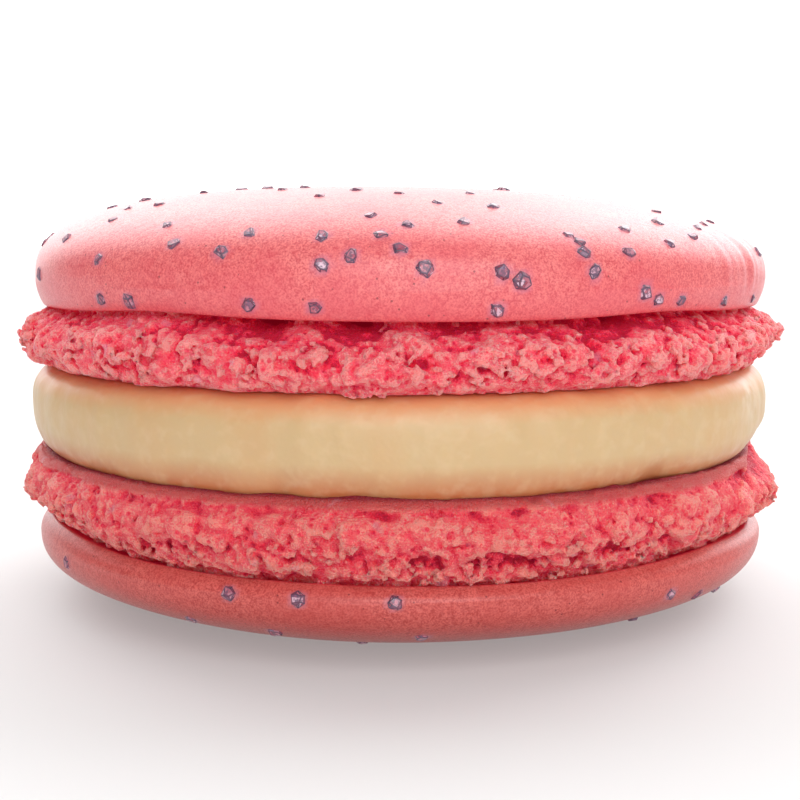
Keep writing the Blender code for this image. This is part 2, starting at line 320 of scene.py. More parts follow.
class Shell:
    """One shell: where its surface is, from its own sizes."""

    def __init__(self, sizes):
        self.sizes = sizes
        self.seed = sizes["seed"]

    def place(self, azimuth, radius, height):
        """The point at a height above the flat face."""
        return spot(azimuth, radius, self.sizes["face"] + self.sizes["facing"] * height)

    def lip_height(self, azimuth):
        return self.sizes["lip"] + waves(azimuth, self.sizes["lip_waves"])

    def foot_height(self, azimuth):
        return self.lip_height(azimuth) - (self.sizes["lip"] - self.sizes["foot"])

    def foot_hull(self, share):
        """The foot's radius before it crumbles. The share is 0 at the flat face, 1 under the lip."""
        bulge = max(1 - abs(2 * share - 0.95) ** FOOT_BULGE_POWER, 0)
        under = max(share - 0.55, 0) / 0.45
        radius = FOOT_EDGE_RADIUS + (FOOT_RADIUS - FOOT_EDGE_RADIUS) * bulge
        return radius - (FOOT_EDGE_RADIUS - FOOT_TOP_RADIUS) * under**3

    def foot_radius(self, azimuth, share):
        """The foot's radius with its lumps, crags, hollows and swells."""
        sizes = self.sizes
        radius = self.foot_hull(share)
        at = self.place(azimuth, radius, share * self.foot_height(azimuth))
        rough = ramp((share + 0.01) / (sizes["smooth_band"] + 0.01)) * ramp((1.05 - share) / 0.25)
        radius -= LUMP_DEPTH * (1 - lump(at, LUMP_SIZE, self.seed)) * rough
        radius -= CRAG_DEPTH * (1 - lump(at, CRAG_SIZE, self.seed + 7)) * rough
        middle, reach = sizes["hollow_at"]
        radius -= waves(azimuth, sizes["hollows"]) * hump(share - middle, reach)
        to_front = math.cos(math.radians(azimuth)) ** 2
        for size, (level, reach) in zip((sizes["lip_fill"], sizes["edge_fill"]), (LIP_FILL, EDGE_FILL)):
            radius += size * MM * hump(share - level, reach) * to_front
        for centre, level, size, width in sizes["swells"]:
            swell = hump(turned(azimuth, centre), width) * hump(share - level, SWELL_SPREAD)
            radius += size * MM * swell
        return radius

    def dome(self, azimuth, turn):
        """The smooth skin. The turn is 0 at the widest ring, 90 at the apex, and less under it."""
        sizes = self.sizes
        widest = sizes["widest"]
        if turn < 0:
            down = math.sin(math.radians(turn)) / math.sin(math.radians(LIP_TURN))
            radius = sizes["radius"] - (sizes["radius"] - LIP_RADIUS) * down**2
            return self.place(azimuth, radius, widest + (self.lip_height(azimuth) - widest) * down)
        across = math.cos(math.radians(turn)) ** (2 / sizes["round_power"])
        rise = math.sin(math.radians(turn)) ** (2 / sizes["height_power"])
        rise *= 1 - sizes["lean"] * math.sin(math.radians(azimuth)) * across
        radius = sizes["radius"] * across
        height = widest + (sizes["apex"] - widest) * rise
        uneven = relief(spot(azimuth, radius, height), DOME_WAVE_SIZE, self.seed + 3)
        uneven *= DOME_WAVE * across
        return self.place(azimuth, radius + uneven, height + uneven * rise)

    def normal(self, azimuth, turn):
        """The dome's outward direction."""
        along = self.dome(azimuth, turn + 0.5) - self.dome(azimuth, turn - 0.5)
        sideways = self.dome(azimuth + 0.5, turn) - self.dome(azimuth - 0.5, turn)
        return (along.cross(sideways) * -self.sizes["facing"]).normalized()


def lattice_noise(x, y, z, size, draw):
    """Smooth noise from -1 to 1 over arrays of places in millimetres."""
    table = draw.uniform(-1, 1, (32, 32, 32)).astype(np.float32)
    parts = []
    for along in LATTICE_AXES:
        scaled = (along[0] * x + along[1] * y + along[2] * z) / size + 500.0
        whole = np.floor(scaled)
        share = scaled - whole
        parts.append((whole.astype(np.int32), share * share * (3 - 2 * share)))
    total = 0.0
    for corner in range(8):
        weight, index = 1.0, []
        for axis, (whole, share) in enumerate(parts):
            up = corner >> axis & 1
            weight = weight * (share if up else 1 - share)
            index.append((whole + up) & 31)
        total = total + weight * table[index[0], index[1], index[2]]
    return total


def soft_max(first, second, blend):
    """The larger of two, rounded where they are about equal."""
    near = np.maximum(blend - np.abs(first - second), 0) / blend
    return np.maximum(first, second) + near * near * blend / 4


class Foam:
    """A field on a grid of azimuth, radius and height, above 0 inside the foot, in millimetres."""

    def __init__(self, shell):
        self.shell = shell
        sizes = shell.sizes
        self.draw = np.random.default_rng(sizes["seed"])
        step = FOAM_STEP / MM
        self.step = step
        self.azimuths = np.arange(FOAM_COLUMNS) * 360 / FOAM_COLUMNS
        self.arc = math.radians(360 / FOAM_COLUMNS)
        fine = np.arange(FOAM_FINE_RADIUS / MM, FOAM_OUTER_RADIUS / MM + 2 * step, step)
        coarse = np.arange(fine[0] - 2 * step, FOAM_INNER_RADIUS / MM, -2 * step)[::-1]
        self.radii = np.concatenate((coarse, fine)).astype(np.float32)
        self.rims = np.array([shell.foot_height(a) / MM for a in self.azimuths], np.float32)
        top = self.rims.max() + FOAM_INTO_DOME / MM
        self.heights = np.arange(-FOAM_UNDER / MM, top + 3 * step, step).astype(np.float32)
        self.top = top

    def base(self):
        """The foot's radius at each column and height, from a coarser table of it."""
        shares = np.linspace(0, 1.3, 53)
        angles = np.arange(0, 361, 1)
        table = np.array([[self.shell.foot_radius(a, s) / MM for s in shares] for a in angles[:-1]])
        table = np.vstack((table, table[:1]))
        share = np.clip(self.heights[None] / self.rims[:, None], 0, 1.3) / shares[1]
        low = np.minimum(share.astype(int), len(shares) - 2)
        over = share - low
        angle = self.azimuths[:, None]
        left = np.floor(angle).astype(int)
        beside = angle - left
        near = table[left, low] * (1 - over) + table[left, low + 1] * over
        far = table[left + 1, low] * (1 - over) + table[left + 1, low + 1] * over
        return (near * (1 - beside) + far * beside).astype(np.float32)

    def rough(self):
        """How craggy each height of each column is: 0 in the smooth band, 1 beyond it."""
        share = np.abs(self.heights[None]) / self.rims[:, None]
        band = self.shell.sizes["smooth_band"]
        rough = ramp(2.2 * share / band - 1.2) if band else np.ones_like(share)
        return rough * (1 - self.shell.sizes["calm"] * np.exp(-(((share - CALM_AT) / CALM_REACH) ** 2)))

    def stamp(self, field, base, spec, add):
        """Adds round crumbs to the field, or cuts round pores from it, near the base surface."""
        sizes = self.shell.sizes
        area = 2 * math.pi * (FOOT_RADIUS / MM) * sizes["foot"] / MM
        count = int(area * spec["per_area"])
        small, large = spec["radii"]
        columns = self.draw.integers(0, FOAM_COLUMNS, count)
        levels = self.draw.uniform(sizes["smooth_band"], 1.05, count)
        radii = small + (large - small) * self.draw.random(count) ** 3
        depths = self.draw.uniform(*spec["depths"], count)
        radii *= 1 - 0.6 * sizes["calm"] * np.exp(-(((levels - CALM_AT) / CALM_REACH) ** 2))
        for column, level, radius, depth in zip(columns, levels, radii, depths):
            height = level * self.rims[column]
            k = int((height - self.heights[0]) / self.step)
            centre = base[column, k] - depth
            j = int(np.searchsorted(self.radii, centre))
            reach = int(radius / self.step) + 2
            wide = int(radius / (centre * self.arc)) + 2
            across = np.arange(column - wide, column + wide + 1)
            js = slice(max(j - reach, 1), min(j + reach + 1, len(self.radii) - 1))
            ks = slice(max(k - reach, 1), min(k + reach + 1, len(self.heights) - 1))
            away = np.sqrt(
                (((across - column) * self.arc * centre) ** 2)[:, None, None]
                + ((self.radii[js] - centre) ** 2)[None, :, None]
                + ((self.heights[ks] - height) ** 2)[None, None]
            )
            columns_here = across % FOAM_COLUMNS
            part = field[columns_here, js, ks]
            ball = radius * (1 + STAMP_RAGGED * self.ragged[columns_here, js, ks]) - away
            if add:
                field[columns_here, js, ks] = soft_max(part, ball, STAMP_BLEND)
            else:
                field[columns_here, js, ks] = -soft_max(-part, ball, STAMP_BLEND)

    def fill(self):
        """The whole field."""
        base, rough = self.base(), self.rough()
        angle = np.radians(self.azimuths)[:, None, None]
        radius = self.radii[None, :, None]
        height = self.heights[None, None]
        x, y = radius * np.sin(angle), -radius * np.cos(angle)
        core = base[:, None, :] - FOAM_CORE - radius
        field = base[:, None, :] - FOAM_SUNK * rough[:, None, :] - radius
        for size, depth in FOAM_PUFFS:
            puff = np.abs(lattice_noise(x, y, height, size, self.draw)) * 2.6 - 0.7
            field = field + puff * depth * rough[:, None, :]
        self.ragged = sum(lattice_noise(x, y, height, size, self.draw) * much for size, much in RAGGED)
        self.stamp(field, base, CRUMBS, add=True)
        self.stamp(field, base, PORES, add=False)
        last = len(self.radii) - 1 - np.argmax(field[:, ::-1] > 0, axis=1)
        self.stamp(field, self.radii[last], GRAINS, add=True)
        fine = lattice_noise(x, y, height, FOAM_FINEST_SIZE, self.draw)
        field = field + fine * FOAM_FINEST * rough[:, None, :]
        proud = base[:, None, :] + FOAM_PROUD - radius
        field = np.maximum(-soft_max(-field, -proud, FOAM_PROUD_BLEND), core)
        rim = x[:, -1:], y[:, -1:]
        hang = sum(depth * lattice_noise(*rim, 0.0, size, self.draw) for size, depth in SKIRT)
        hang = hang * ramp((radius - SKIRT_FROM) / SKIRT_FADE)
        field = np.minimum(field, height - hang)
        field = np.minimum(field, self.top - height)
        field[:, 0], field[:, -1] = -1, -1
        field[:, :, 0], field[:, :, -1] = -1, -1
        self.inside_fraction(field)
        return self.whole(field.astype(np.float32))

    def inside_fraction(self, field):
        """How enclosed each place is at two scales: 0.5 on a flat surface, more in a pit."""
        solid = (field > 0).astype(np.float32)
        solid[:, 0] = 1
        self.enclosed = [box_mean(solid, reach) for reach in CAVITY_REACH]

    def whole(self, field):
        """The field without crumbs that float free and without hollows that are sealed."""
        solid = field > 0
        core = np.zeros_like(solid)
        core[:, 1:3, 6:-6] = solid[:, 1:3, 6:-6]
        kept = spread(core, solid)
        field = np.where(solid & ~kept, -0.02, field)
        outside = np.zeros_like(solid)
        outside[:, -1] = outside[:, :, -1] = outside[:, :, 0] = outside[:, 0] = True
        open_air = spread(outside, field <= 0)
        return np.where((field <= 0) & ~open_air, 0.02, field)


def box_mean(values, reach):
    """The mean over a cube of cells round each cell, where the first axis goes round."""
    values = np.concatenate((values[-reach:], values, values[:reach]))
    for axis in range(3):
        values = np.moveaxis(values, axis, 0)
        padded = np.pad(values, ((reach + 1, reach), (0, 0), (0, 0)), mode="edge")
        sums = np.cumsum(padded, axis=0, dtype=np.float64)
        values = ((sums[2 * reach + 1 :] - sums[: -2 * reach - 1]) / (2 * reach + 1)).astype(np.float32)
        values = np.moveaxis(values, 0, axis)
    return values[reach:-reach]


def spread(seed, allowed):
    """The allowed cells that join on to the seed, where the first axis goes round."""
    found = seed & allowed
    while True:
        grown = found.copy()
        grown |= np.roll(found, 1, 0) | np.roll(found, -1, 0)
        for axis in (1, 2):
            ahead = [slice(None)] * 3
            behind = [slice(None)] * 3
            ahead[axis], behind[axis] = slice(1, None), slice(None, -1)
            grown[tuple(ahead)] |= found[tuple(behind)]
            grown[tuple(behind)] |= found[tuple(ahead)]
        grown &= allowed
        if grown.sum() == found.sum():
            return found
        found = grown


def zero_surface(field):
    """Places, in cells of the grid, and quads of the field's zero surface. The first axis goes round."""
    field = np.concatenate((field, field[:1]))
    cells = tuple(size - 1 for size in field.shape)
    total = np.zeros((*cells, 3), np.float32)
    hits = np.zeros(cells, np.float32)
    corners = ((0, 0), (0, 1), (1, 0), (1, 1))
    crossings = []
    for axis in range(3):
        here = field.take(range(cells[axis]), axis)
        there = field.take(range(1, cells[axis] + 1), axis)
        change = (here > 0) != (there > 0)
        share = np.where(change, here / np.where(change, here - there, 1), 0)
        crossings.append(change[: cells[0]])
        others = [other for other in range(3) if other != axis]
        for corner in corners:
            offset = dict(zip(others, corner))
            window = tuple(slice(offset.get(a, 0), offset.get(a, 0) + cells[a]) for a in range(3))
            hits += change[window]
            total[..., axis] += share[window]
            for other in others:
                total[..., other] += change[window] * offset[other]
    crossed = hits > 0
    index = np.full(cells, -1, np.int64)
    index[crossed] = np.arange(crossed.sum())
    places = np.argwhere(crossed).astype(np.float32) + total[crossed] / hits[crossed][:, None]
    quads = []
    for axis, change in enumerate(crossings):
        edges = np.array(np.nonzero(change))
        first, second = (axis + 1) % 3, (axis + 2) % 3
        for other in {first, second} - {0}:
            edges = edges[:, (edges[other] > 0) & (edges[other] < cells[other])]
        quad = []
        for back in ((1, 1), (0, 1), (0, 0), (1, 0)):
            cell = edges.copy()
            cell[first] -= back[0]
            cell[second] -= back[1]
            cell[0] %= cells[0]
            quad.append(index[tuple(cell)])
        quad = np.stack(quad, 1)
        flip = field[tuple(edges)] <= 0
        quad[flip] = quad[flip][:, ::-1]
        quads.append(quad)
    return places, np.concatenate(quads)


def add_object(name, data):
    """A new object in the scene."""
    obj = bpy.data.objects.new(name, data)
    bpy.context.scene.collection.objects.link(obj)
    return obj


def mesh_object(name, places, faces, material):
    """A smooth shaded object of these points and faces."""
    mesh = bpy.data.meshes.new(name)
    mesh.from_pydata(places, [], faces)
    mesh.materials.append(material)
    mesh.shade_smooth()
    return add_object(name, mesh)


def add_values(obj, name, values):
    """A value at each point of the object, for its material."""
    attribute = obj.data.attributes.new(name, "FLOAT", "POINT")
    attribute.data.foreach_set("value", np.asarray(values, np.float32))


def dress(obj, node):
    """The piece rides on the one body and stands for its node."""
    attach(obj, "root")
    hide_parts(node)
    return obj


def close_seams(obj):
    """Caps the two ends of a half ring."""
    bm = bmesh.new()
    bm.from_mesh(obj.data)
    bmesh.ops.holes_fill(bm, edges=[edge for edge in bm.edges if edge.is_boundary], sides=0)
    bm.to_mesh(obj.data)
    bm.free()


def merge_hidden(places, hidden, faces):
    """The points kept when hidden ones are merged in blocks of the grid, and the renumbered faces."""
    block = (places / HIDDEN_BLOCK).astype(np.int64)
    key = (block[:, 0] * 1000 + block[:, 1]) * 1000 + block[:, 2]
    key = np.where(hidden, key, -1 - np.arange(len(key)))
    _, kept, renumbered = np.unique(key, return_index=True, return_inverse=True)
    return kept, renumbered[faces]


def build_foot(shell, material):
    """The foot's foam as two closed half rings."""
    foam = Foam(shell)
    field = foam.fill()
    places, quads = zero_surface(field)
    column = places[:, 0]
    radius = np.interp(places[:, 1], np.arange(len(foam.radii)), foam.radii) * MM
    height = (foam.heights[0] + places[:, 2] * foam.step) * MM
    angle = column * foam.arc
    level = shell.sizes["face"] + shell.sizes["facing"] * height
    points = np.stack((radius * np.sin(angle), -radius * np.cos(angle), level), 1)
    if shell.sizes["facing"] > 0:
        quads = quads[:, ::-1]
    near = np.minimum(np.rint(places).astype(int), np.array(field.shape) - 1)
    near[:, 0] %= FOAM_COLUMNS
    enclosed = [values[near[:, 0], near[:, 1], near[:, 2]] for values in foam.enclosed]
    rim = foam.rims[near[:, 0]] * MM
    shares = np.linspace(0, 1, 51)
    hulls = np.array([shell.foot_hull(share) for share in shares])
    depth = (np.interp(height / rim, shares, hulls) - radius) / MM
    # Painted shadow: where the lower foot meets the cream it gets a dark crimson line
    cream = np.array([filling_radius(a, 0.06) for a in foam.azimuths])[near[:, 0]]
    contact_shadow = 1 - ramp((radius - cream) / (CONTACT_SHADOW_WIDTH * (0.4 + enclosed[1] * 1.2)))
    contact_shadow *= ramp(1 - height / CONTACT_SHADOW_WIDTH) if shell.sizes["facing"] < 0 else 0
    around = column[quads[:, 0]] / FOAM_COLUMNS
    # Enclosure and depth below the hull, which the crumb material turns into painted shade
    values = {
        "pit": enclosed[0], "hollow": enclosed[1], "depth": depth, "level": height / rim, "contact_shadow": contact_shadow,
    }
    hidden = (places[:, 1] < 1.2) | (height > foam.top * MM - HIDDEN_EDGE)
    hidden |= (np.abs(height) < HIDDEN_EDGE) & (radius < HIDDEN_RADIUS)
    kept, quads = merge_hidden(places, hidden, quads)
    sound = (quads[:, 0] != quads[:, 2]) & (quads[:, 1] != quads[:, 3])
    for name, first in (("front", -0.25), ("back", 0.25)):
        chosen = quads[sound & ((around - first) % 1.0 < 0.5)]
        used, renumbered = np.unique(chosen, return_inverse=True)
        faces = [list(dict.fromkeys(face)) for face in renumbered.reshape(-1, 4).tolist()]
        faces = [face for face in faces if len(face) > 2]
        used = kept[used]
        obj = mesh_object(f"{shell.sizes['name']}_foot_{name}", points[used].tolist(), faces, material)
        for key, at_points in values.items():
            add_values(obj, key, at_points[used])
        close_seams(obj)
        dress(obj, shell.sizes["node"])


def revolved(name, rows, material, outward, apex=None):
    """A closed object from rings of points, capped with a flat face or closed to an apex."""
    count = len(rows[0])
    places = [tuple(place) for row in rows for place in row]
    faces = []
    for row in range(len(rows) - 1):
        low, high = row * count, (row + 1) * count
        for i in range(count):
            j = (i + 1) % count
            faces.append((low + i, low + j, high + j, high + i))
    faces.append(tuple(reversed(range(count))))
    last = (len(rows) - 1) * count
    if apex is None:
        faces.append(tuple(range(last, last + count)))
    else:
        places.append(tuple(apex))
        faces += [(last + i, last + (i + 1) % count, len(places) - 1) for i in range(count)]
    if not outward:
        faces = [tuple(reversed(face)) for face in faces]
    return mesh_object(name, places, faces, material)


def crystal_places(shell):
    """Azimuth, turn and millimetres of each crystal: those at the front, then a seeded scatter."""
    draw = random.Random(shell.seed)
    smallest, largest = CRYSTAL_SIZES
    count = shell.sizes["crystals"]
    lowest, highest = (math.sin(math.radians(turn)) for turn in shell.sizes["crystal_turns"])
    placed = [
        (shell.dome(azimuth, turn), azimuth, turn, size)
        for azimuth, turn, size in shell.sizes["front_crystals"]
    ]
    while len(placed) < count:
        azimuth = draw.uniform(-180, 180)
        across = math.sqrt(draw.uniform(1 - highest**2, 1 - lowest**2))
        turn = math.degrees(math.acos(across))
        size = largest - (largest - smallest) * len(placed) / count
        here = shell.dome(azimuth, turn)
        if all((here - other).length > CRYSTAL_SPACING for other, *_ in placed):
            placed.append((here, azimuth, turn, size))
    return [entry[1:] for entry in placed]


def crystal_block(size, draw):
    """An uneven block of sugar with its corners cut. Its larger faces are a pane inside a rim."""
    bm = bmesh.new()
    length, width = size * draw.uniform(0.5, 0.62), size * draw.uniform(0.42, 0.54)
    depth = size * CRYSTAL_DEPTH
    sides = draw.choice((5, 6, 6, 7))
    for i in range(sides):
        angle = 2 * math.pi * (i + draw.uniform(-0.3, 0.3)) / sides
        x, y = length * math.cos(angle), width * math.sin(angle)
        inward = draw.uniform(0.55, 0.85)
        bm.verts.new((x * inward, y * inward, depth * draw.uniform(0.75, 1)))
        outward = draw.uniform(0.9, 1.1)
        bm.verts.new((x * outward, y * outward, depth * draw.uniform(0, 0.5)))
        bm.verts.new((x * 0.9, y * 0.9, -depth))
    bmesh.ops.convex_hull(bm, input=bm.verts)
    bmesh.ops.dissolve_limit(bm, angle_limit=math.radians(12), verts=bm.verts, edges=bm.edges)
    bmesh.ops.recalc_face_normals(bm, faces=bm.faces)
    bmesh.ops.bevel(
        bm, geom=bm.edges[:], offset=size * 0.02, segments=1, affect="EDGES", clamp_overlap=True
    )
    panes = [face for face in bm.faces if face.normal.z > -0.2 and face.calc_area() > (size * 0.12) ** 2]
    bmesh.ops.inset_individual(bm, faces=panes, thickness=size * PANE_RIM, depth=0)
    for face in panes:
        face.material_index = 1
    return bm


def build_crystals(shell, materials):
    """All the crystals of a shell as one object, each with a tint of its own."""
    draw = random.Random(shell.seed + 1)
    joined = bmesh.new()
    tint = joined.verts.layers.float.new("tint")
    for azimuth, turn, size in crystal_places(shell):
        out = shell.normal(azimuth, turn)
        centre = shell.dome(azimuth, turn) - out * size * MM * CRYSTAL_DEPTH * CRYSTAL_SUNK
        upright = out.to_track_quat("Z", "Y").to_matrix().to_4x4()
        spin = Matrix.Rotation(draw.uniform(0, math.pi), 4, "Z")
        tilt = Matrix.Rotation(draw.uniform(-0.3, 0.3), 4, "X")
        block = crystal_block(size * MM, draw)
        block.transform(Matrix.Translation(centre) @ upright @ spin @ tilt)
        mesh = bpy.data.meshes.new("block")
        block.to_mesh(mesh)
        block.free()
        before = len(joined.verts)
        joined.from_mesh(mesh)
        bpy.data.meshes.remove(mesh)
        joined.verts.ensure_lookup_table()
        own = (azimuth * 7.31 + turn * 3.77) % 1.0
        for vert in joined.verts[before:]:
            vert[tint] = own
    mesh = bpy.data.meshes.new(f"{shell.sizes['name']}_crystals")
    joined.to_mesh(mesh)
    joined.free()
    for material in materials:
        mesh.materials.append(material)
    return dress(add_object(mesh.name, mesh), shell.sizes["node"])


def wrinkle(azimuth, turn):
    """Fine upright ripples where the skin has shrunk at the right of the upper dome."""
    centre, level = WRINKLE_AT
    here = hump(turned(azimuth, centre), WRINKLE_REACH) * hump(turn - level, WRINKLE_REACH)
    if here < 0.02:
        return 0.0
    return WRINKLE * here * noise.noise(Vector((azimuth * 0.42, turn * 0.02, 4.0)))


def build_dome(shell, material, rest_radius=None):
    """The skin of one shell, its lip and the hollow side of the lip, as a closed piece."""
    sizes = shell.sizes
    around = [360 * i / DOME_COLUMNS for i in range(DOME_COLUMNS)]
    rows = []
    for inward, above in reversed(LIP_UNDERSIDE):
        rows.append([
            shell.place(a, LIP_RADIUS - inward * MM, shell.lip_height(a) + above * MM) for a in around
        ])
    turns = [LIP_TURN * (1 - i / LIP_ROWS) for i in range(LIP_ROWS)]
    highest = 83 if rest_radius else 89
    turns += [highest * (i / DOME_ROWS) for i in range(DOME_ROWS + 1)]
    for turn in turns:
        row = []
        for a in around:
            place = shell.dome(a, turn)
            if sizes["facing"] > 0:
                ripple = wrinkle(a, turn)
                if ripple:
                    place = place + shell.normal(a, max(turn, 1)) * ripple
            row.append(place)
        rows.append(row)
    if rest_radius:
        rows.append([shell.place(a, rest_radius, sizes["apex"]) for a in around])
    apex = None if rest_radius else shell.dome(0, 90)
    obj = revolved(f"{sizes['name']}_dome", rows, material, sizes["facing"] > 0, apex)
    tree = kdtree.KDTree(sizes["crystals"])
    found = crystal_places(shell)
    for index, (azimuth, turn, size) in enumerate(found):
        tree.insert(shell.dome(azimuth, turn), index)
    tree.balance()
    halo = []
    for vert in obj.data.vertices:
        _, index, distance = tree.find(vert.co)
        halo.append(1 - ramp((distance / MM - found[index][2] * 0.42) / HALO))
    add_values(obj, "halo", halo)
    # The rows under the lip, where the skin is painted deep crimson as painted shade and glows red, a
    # painted glow
    below = len(LIP_UNDERSIDE)
    under = [1 - ramp((i // DOME_COLUMNS - below + 3) / 3) for i in range(len(obj.data.vertices))]
    add_values(obj, "under", under)
    return dress(obj, sizes["node"])


def filling_radius(azimuth, share):
    """How far the filling reaches, where the share is 0 at its lower face and 1 at its upper one."""
    edge = FILLING_EDGE_RADIUS
    if share < FILLING_SWELL_AT:
        away = 1 - share / FILLING_SWELL_AT
        edge += waves(azimuth, FILLING_SPREAD)
    else:
        away = (share - FILLING_SWELL_AT) / (1 - FILLING_SWELL_AT)
    swell = (1 - min(max(away, 0), 1) ** FILLING_FULLNESS) ** (1 / FILLING_FULLNESS)
    return edge + (FILLING_RADIUS - edge) * swell


def build_filling(material):
    """The disc of cream, pressed to both shells."""
    around = [360 * i / FILLING_COLUMNS for i in range(FILLING_COLUMNS)]
    rows, shares, smear_highlights = [], [], []
    for row in range(FILLING_ROWS + 1):
        share = (1 - math.cos(math.pi * row / FILLING_ROWS)) / 2
        height = FILLING_BOTTOM - FILLING_DROOP + (FILLING_TOP - FILLING_BOTTOM + FILLING_DROOP) * share
        points = []
        for a in around:
            wave = FILLING_WAVE * relief(spot(a, FILLING_RADIUS, height), FILLING_WAVE_SIZE, 3)
            smear = FILLING_SMEAR * noise.noise(Vector((a * 0.28, share * 1.6, 9.0)))
            edge = ramp(share * 5) * ramp((1 - share) * 5)
            radius = filling_radius(a, share) + wave + smear * edge
            radius += waves(a, FILLING_DENTS) * ramp((0.45 - share) / 0.45)
            points.append(spot(a, radius, height))
            shares.append(share)
            # A painted highlight in the form of a whitish smear
            smear_highlights.append(hump(turned(a, SMEAR_HIGHLIGHT_AT[0]), 3.5) * hump(share - SMEAR_HIGHLIGHT_AT[1], 0.24))
        rows.append(points)
    obj = revolved("cream", rows, material, True)
    add_values(obj, "level", shares)
    add_values(obj, "smear", smear_highlights)
    return dress(obj, "filling")


class Nodes:
    """Adds nodes to a tree and links them."""

    def __init__(self, tree):
        self.tree = tree

    def feed(self, node, sources):
        """Links a source to each of these inputs, or sets the input to a value."""
        for socket, source in sources.items():
            target = node.inputs[socket]
            if isinstance(source, bpy.types.NodeSocket):
                self.tree.links.new(source, target)
            else:
                target.default_value = (*source, 1) if target.type == "RGBA" else source
        return node

    def add(self, kind, sources=(), **values):
        node = self.tree.nodes.new(kind)
        for key, value in values.items():
            setattr(node, key, value)
        return self.feed(node, dict(sources))

    def value(self, name):
        return self.add("ShaderNodeAttribute", attribute_name=name).outputs["Fac"]

    def maths(self, operation, *sources, clamp=False):
        inputs = dict(enumerate(sources))
        return self.add("ShaderNodeMath", inputs, operation=operation, use_clamp=clamp).outputs[0]

    def times(self, first, second):
        return self.maths("MULTIPLY", first, second)

    def plus(self, first, second, clamp=False):
        return self.maths("ADD", first, second, clamp=clamp)

    def minus(self, first, second):
        return self.maths("SUBTRACT", first, second)

    def span(self, source, low, high, to_low=0.0, to_high=1.0, smooth=True):
        node = self.add(
            "ShaderNodeMapRange",
            {"Value": source, "From Min": low, "From Max": high, "To Min": to_low, "To Max": to_high},
        )
        if smooth:
            node.interpolation_type = "SMOOTHSTEP"
        return node.outputs[0]

    def ramp(self, source, stops):
        node = self.add("ShaderNodeValToRGB", {0: source})
        elements = node.color_ramp.elements
        while len(elements) < len(stops):
            elements.new(0.5)
        for element, (position, colour) in zip(elements, stops):
            element.position = position
            element.color = (*colour, 1)
        return node.outputs["Color"]

    def mix(self, share, first, second, kind="MIX"):
        node = self.add("ShaderNodeMix", data_type="RGBA", blend_type=kind)
        return self.feed(node, {0: share, 6: first, 7: second}).outputs[2]

    def place(self):
        """Where the point is on the object, in metres."""
        return self.add("ShaderNodeTexCoord").outputs["Object"]

    def noise(self, place, size, detail=2.0, rough=0.5, scale=(1, 1, 1)):
        if scale != (1, 1, 1):
            place = self.add("ShaderNodeMapping", {"Vector": place, "Scale": scale}).outputs[0]
        node = self.add(
            "ShaderNodeTexNoise",
            {"Vector": place, "Scale": 1 / (size * MM), "Detail": detail, "Roughness": rough},
        )
        return node.outputs["Fac"]

    def cells(self, place, size, output="Distance", feature="F1"):
        node = self.add(
            "ShaderNodeTexVoronoi", {"Vector": place, "Scale": 1 / (size * MM)}, feature=feature
        )
        return node.outputs[output]

    def chance(self, place, size, channel=0):
        """A random value for each cell."""
        colour = self.cells(place, size, "Color")
        return self.add("ShaderNodeSeparateColor", {0: colour}).outputs[channel]

    def bump(self, height, distance, strength=1.0):
        node = self.add(
            "ShaderNodeBump", {"Height": height, "Distance": distance * MM, "Strength": strength}
        )
        return node.outputs["Normal"]


def new_material(name, roughness, specular=0.5):
    """A new material, its nodes and its shader."""
    material = bpy.data.materials.new(name)
    material.use_nodes = True
    nodes = Nodes(material.node_tree)
    shader = material.node_tree.nodes["Principled BSDF"]
    nodes.feed(shader, {"Roughness": roughness, "Specular IOR Level": specular})
    return material, nodes, shader


def linear(red, green, blue):
    """A colour given as it is seen on a screen, 0 to 255, as linear light."""
    parts = (red / 255, green / 255, blue / 255)
    return tuple(c / 12.92 if c < 0.04045 else ((c + 0.055) / 1.055) ** 2.4 for c in parts)


def scatter(nodes, shader, weight, reach, tint):
    """Light that goes in and comes out again nearby, to this many millimetres."""
    nodes.feed(shader, {
        "Subsurface Weight": weight, "Subsurface Scale": reach * MM, "Subsurface Radius": tint,
    })


